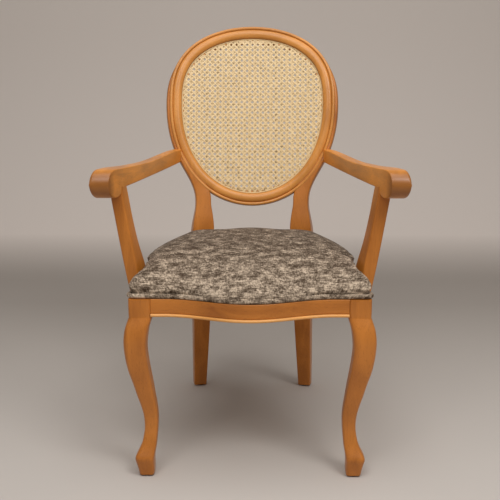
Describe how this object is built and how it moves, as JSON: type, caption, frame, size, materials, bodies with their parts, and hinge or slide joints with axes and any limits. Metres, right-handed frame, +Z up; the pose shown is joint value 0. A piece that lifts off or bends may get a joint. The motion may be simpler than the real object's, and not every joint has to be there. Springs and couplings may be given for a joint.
{
  "type": "dining armchair",
  "caption": "Dining armchair with an oval caned back, scroll arms on curved posts, cabriole front legs, raked rear legs and a domed upholstered seat edged with piping.",
  "frame": {"origin": "on the floor, under the middle of the box that holds the chair", "axes": "+Z up, the sitter faces -Y, +X to the sitter's left hand as seen on the right of the picture"},
  "size_m": [0.6436, 0.636, 0.9763],
  "materials": {
    "beech": "honey stain under satin lacquer",
    "cane": "natural cane",
    "fabric": "mottled taupe weave",
    "foam": "cut foam",
    "plywood": "sanded",
    "steel": "zinc plated",
    "nylon": "matte"
  },
  "bodies": {
    "root": {"rear_leg_left": "beech", "rear_leg_right": "beech", "crest_rail": "beech", "lower_back_rail": "beech", "ring_dowel_upper_left_1": "beech", "ring_dowel_upper_left_2": "beech", "ring_dowel_upper_right_1": "beech", "ring_dowel_upper_right_2": "beech", "ring_dowel_lower_left_1": "beech", "ring_dowel_lower_left_2": "beech", "ring_dowel_lower_right_1": "beech", "ring_dowel_lower_right_2": "beech", "front_leg_left": "beech", "front_leg_right": "beech", "side_seat_rail_left": "beech", "side_seat_rail_right": "beech", "arm_left": "beech", "arm_right": "beech", "arm_post_left": "beech", "arm_post_right": "beech", "arm_plug_left": "beech", "arm_plug_right": "beech", "corner_block_front_left": "beech", "corner_block_front_right": "beech", "corner_block_rear_left": "beech", "corner_block_rear_right": "beech", "front_seat_rail": "beech", "rear_seat_rail": "beech", "cane_panel": "cane", "cane_spline": "cane", "seat_cover": "fabric", "seat_piping": "fabric", "seat_foam": "foam", "seat_board": "plywood", "block_screw_front_left_1": "steel", "block_screw_front_left_2": "steel", "block_screw_front_right_1": "steel", "block_screw_front_right_2": "steel", "block_screw_rear_left_1": "steel", "block_screw_rear_left_2": "steel", "block_screw_rear_right_1": "steel", "block_screw_rear_right_2": "steel", "seat_screw_front_left": "steel", "seat_screw_front_right": "steel", "seat_screw_rear_left": "steel", "seat_screw_rear_right": "steel", "arm_post_screw_left_1": "steel", "arm_post_screw_left_2": "steel", "arm_post_screw_right_1": "steel", "arm_post_screw_right_2": "steel", "arm_screw_left": "steel", "arm_screw_right": "steel", "front_glide_left": "nylon", "front_glide_right": "nylon", "rear_glide_left": "nylon", "rear_glide_right": "nylon"}
  },
  "joints": []
}
